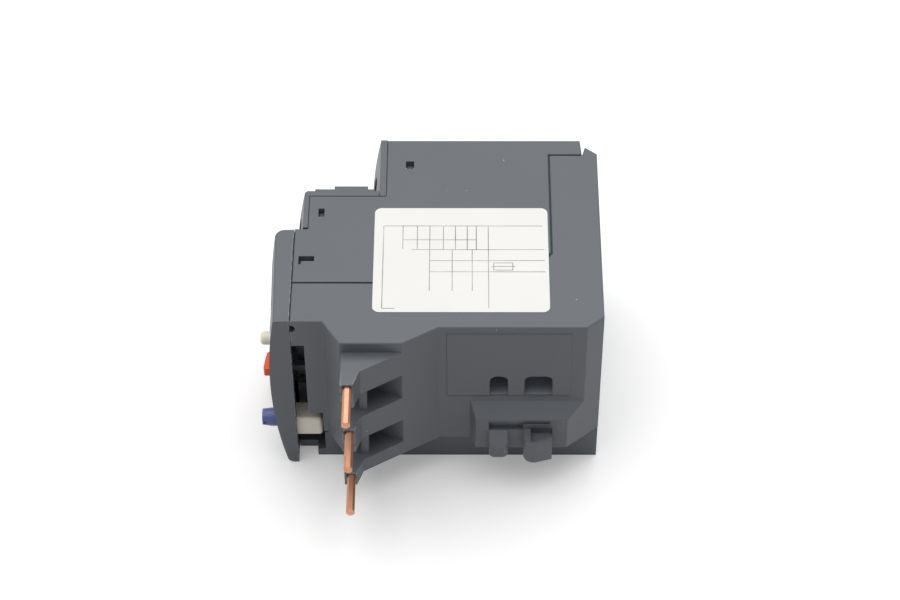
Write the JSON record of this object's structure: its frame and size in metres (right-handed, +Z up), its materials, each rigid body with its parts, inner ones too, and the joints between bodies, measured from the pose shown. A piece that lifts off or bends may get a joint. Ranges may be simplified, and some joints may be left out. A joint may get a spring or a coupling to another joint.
{
  "type": "thermal overload relay",
  "caption": "Thermal overload relay with copper contactor pins, plug-on hook, setting dial under a clear pane, press buttons and stepped screw terminals.",
  "frame": {"origin": "on the table under the middle of the relay's outer box, lying on its right side panel", "axes": "+X to the relay's rear, +Y from the contactor side to the load terminals, +Z up across the poles towards the left side panel"},
  "size_m": [0.0709, 0.0744, 0.0451],
  "materials": {
    "housing": "fine satin grain",
    "copper": "bare copper, satin",
    "bar_copper": "bare copper alloy",
    "steel": "zinc plated",
    "heater_wire": "oxidised wire",
    "bimetal": "rolled strip",
    "clear": "clear moulded plastic",
    "dial": "satin",
    "cream": "natural moulding",
    "blue": "smooth",
    "red": "smooth",
    "orange": "smooth",
    "label": "printed film, bare"
  },
  "bodies": {
    "relay": {"contactor_housing": "housing", "terminal_housing": "housing", "aux_cover": "housing", "load_cover": "housing", "front_plate": "housing", "line_pin_1": "copper", "line_pin_2": "copper", "line_pin_3": "copper", "load_bar_1": "bar_copper", "load_bar_2": "bar_copper", "load_bar_3": "bar_copper", "aux_strip_1": "bar_copper", "aux_strip_2": "bar_copper", "aux_strip_3": "bar_copper", "aux_strip_4": "bar_copper", "load_clamp_1": "steel", "load_clamp_2": "steel", "load_clamp_3": "steel", "load_screws": "steel", "aux_clamp_1": "steel", "aux_clamp_2": "steel", "aux_clamp_3": "steel", "aux_clamp_4": "steel", "aux_screws": "steel", "reset_spring": "steel", "stop_spring": "steel", "test_spring": "steel", "heater_1": "heater_wire", "heater_2": "heater_wire", "heater_3": "heater_wire", "bimetal_1": "bimetal", "bimetal_2": "bimetal", "bimetal_3": "bimetal", "side_label": "label"},
    "dial_cover": {"dial_cover": "clear"},
    "setting_dial": {"setting_dial": "dial"},
    "setting_lever": {"setting_lever": "steel"},
    "trip_lever": {"trip_lever": "housing", "compensator_strip": "bimetal", "trip_flag": "orange"},
    "trip_slide": {"trip_slide": "cream"},
    "differential_slide": {"differential_slide": "cream"},
    "contact_carrier": {"contact_carrier": "cream", "closed_bridge": "bar_copper", "open_bridge": "bar_copper"},
    "reset_plunger": {"reset_plunger": "cream"},
    "reset_button": {"reset_button": "blue"},
    "stop_button": {"stop_button": "red"},
    "test_button": {"test_button": "cream"}
  },
  "joints": [
    {"name": "dial_cover_swing", "type": "hinge", "parent": "relay", "child": "dial_cover", "pos_m": [-0.03072, -0.01387, 0.04], "axis": [-0.0262, 0.9997, 0], "range_deg": [0, 95]},
    {"name": "dial_turn", "type": "hinge", "parent": "relay", "child": "setting_dial", "pos_m": [-0.02745, 0.00032, 0.0325], "axis": [1, 0, 0], "range_deg": [-135, 135]},
    {"name": "setting_lever_swing", "type": "hinge", "parent": "relay", "child": "setting_lever", "pos_m": [-0.02335, 0.00863, 0.02735], "axis": [1, 0, 0], "range_deg": [-3.5, 3.5]},
    {"name": "trip_slide_travel", "type": "slide", "parent": "relay", "child": "trip_slide", "axis": [0, 0, 1], "range_m": [0, 0.002]},
    {"name": "differential_slide_travel", "type": "slide", "parent": "relay", "child": "differential_slide", "axis": [0, 0, 1], "range_m": [0, 0.002]},
    {"name": "trip_lever_swing", "type": "hinge", "parent": "setting_lever", "child": "trip_lever", "pos_m": [-0.02145, 0.00202, 0.02735], "axis": [1, 0, 0], "range_deg": [-12.94, 0]},
    {"name": "contact_carrier_travel", "type": "slide", "parent": "relay", "child": "contact_carrier", "axis": [1, 0, 0], "range_m": [0, 0.0016]},
    {"name": "reset_press", "type": "slide", "parent": "relay", "child": "reset_plunger", "axis": [1, 0, 0], "range_m": [0, 0.0016], "stiffness_N_per_m": 900, "deforming": ["reset_spring"]},
    {"name": "reset_mode_turn", "type": "hinge", "parent": "reset_plunger", "child": "reset_button", "pos_m": [-0.02795, -0.00997, 0.0104], "axis": [1, 0, 0], "range_deg": [0, 90]},
    {"name": "stop_press", "type": "slide", "parent": "relay", "child": "stop_button", "axis": [1, 0, 0], "range_m": [0, 0.002], "stiffness_N_per_m": 800, "deforming": ["stop_spring"]},
    {"name": "test_press", "type": "slide", "parent": "relay", "child": "test_button", "axis": [1, 0, 0], "range_m": [0, 0.0015], "stiffness_N_per_m": 800, "deforming": ["test_spring"]}
  ],
  "couplings": [
    {"joint": "setting_lever_swing", "follows": "dial_turn", "ratio": 0.02557},
    {"joint": "differential_slide_travel", "follows": "trip_slide_travel", "ratio": 1},
    {"joint": "trip_lever_swing", "follows": "trip_slide_travel", "rad_per_m": -112.5},
    {"joint": "contact_carrier_travel", "follows": "trip_slide_travel", "ratio": 0.8}
  ]
}
